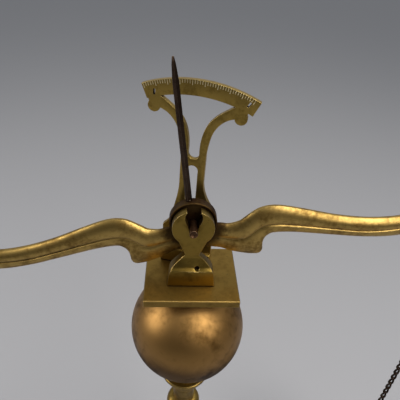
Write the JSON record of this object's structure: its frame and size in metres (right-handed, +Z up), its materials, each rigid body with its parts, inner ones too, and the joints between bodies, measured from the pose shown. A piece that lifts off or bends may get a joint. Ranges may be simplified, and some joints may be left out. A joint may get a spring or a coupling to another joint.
{
  "type": "beam balance scale",
  "caption": "Free-standing brass beam balance: turned column with a ball, swan-neck beam, pointer before a graduated arc, and hung pans.",
  "frame": {"origin": "centre of the base's underside", "axes": "+Z up, +X along the beam to the right, -Y towards the viewer, who faces the front bearing"},
  "size_m": [0.4542, 0.136, 0.5077],
  "materials": {
    "aged_brass": "satin, tarnished",
    "dark_steel": "dark, worn",
    "plain_steel": "plain",
    "dark_chain": "blackened",
    "felt": "felt"
  },
  "bodies": {
    "stand": {"base_pad": "felt", "base_foot": "aged_brass", "lower_knop": "aged_brass", "column_shaft": "aged_brass", "column_neck": "aged_brass", "ball_cup": "aged_brass", "ball": "aged_brass", "ball_collar": "aged_brass", "head_plate": "aged_brass", "tie_rod": "plain_steel", "tie_washer": "plain_steel", "tie_nut": "plain_steel", "front_bearing": "aged_brass", "lyre_frame": "aged_brass", "bearing_screws": "plain_steel"},
    "beam": {"beam": "aged_brass", "centre_pin": "dark_steel", "pointer": "dark_steel", "left_end_pin": "dark_steel", "right_end_pin": "dark_steel"},
    "left_stirrup": {"left_stirrup": "aged_brass"},
    "left_hook": {"left_hook": "aged_brass"},
    "left_pan": {"left_top_ring": "dark_chain", "left_main_chain": "dark_chain", "left_spreader": "aged_brass", "left_lower_chain_1": "dark_chain", "left_lower_chain_2": "dark_chain", "left_lower_chain_3": "dark_chain", "left_rim_rings": "aged_brass", "left_pan": "aged_brass"},
    "right_stirrup": {"right_stirrup": "aged_brass"},
    "right_hook": {"right_hook": "aged_brass"},
    "right_pan": {"right_top_ring": "dark_chain", "right_main_chain": "dark_chain", "right_spreader": "aged_brass", "right_lower_chain_1": "dark_chain", "right_lower_chain_2": "dark_chain", "right_lower_chain_3": "dark_chain", "right_rim_rings": "aged_brass", "right_pan": "aged_brass"}
  },
  "joints": [
    {"name": "beam_tilt", "type": "hinge", "parent": "stand", "child": "beam", "pos_m": [0, 0.001, 0.4176], "axis": [0, 1, 0], "range_deg": [-10.5, 25.5]},
    {"name": "left_stirrup_swing", "type": "hinge", "parent": "beam", "child": "left_stirrup", "pos_m": [-0.17053, 0.001, 0.39515], "axis": [0, 1, 0], "range_deg": [-25.5, 10.5]},
    {"name": "left_hook_swing", "type": "hinge", "parent": "left_stirrup", "child": "left_hook", "pos_m": [-0.17053, 0.001, 0.36945], "axis": [1, 0, 0], "range_deg": [-8, 8]},
    {"name": "left_pan_swing", "type": "hinge", "parent": "left_hook", "child": "left_pan", "pos_m": [-0.17053, 0.001, 0.35555], "axis": [0, 1, 0], "range_deg": [-6, 6]},
    {"name": "right_stirrup_swing", "type": "hinge", "parent": "beam", "child": "right_stirrup", "pos_m": [0.17053, 0.001, 0.44005], "axis": [0, 1, 0], "range_deg": [-25.5, 10.5]},
    {"name": "right_hook_swing", "type": "hinge", "parent": "right_stirrup", "child": "right_hook", "pos_m": [0.17053, 0.001, 0.41435], "axis": [1, 0, 0], "range_deg": [-8, 8]},
    {"name": "right_pan_swing", "type": "hinge", "parent": "right_hook", "child": "right_pan", "pos_m": [0.17053, 0.001, 0.40045], "axis": [0, 1, 0], "range_deg": [-6, 6]}
  ],
  "couplings": [
    {"joint": "left_stirrup_swing", "follows": "beam_tilt", "ratio": -1},
    {"joint": "right_stirrup_swing", "follows": "beam_tilt", "ratio": -1}
  ]
}
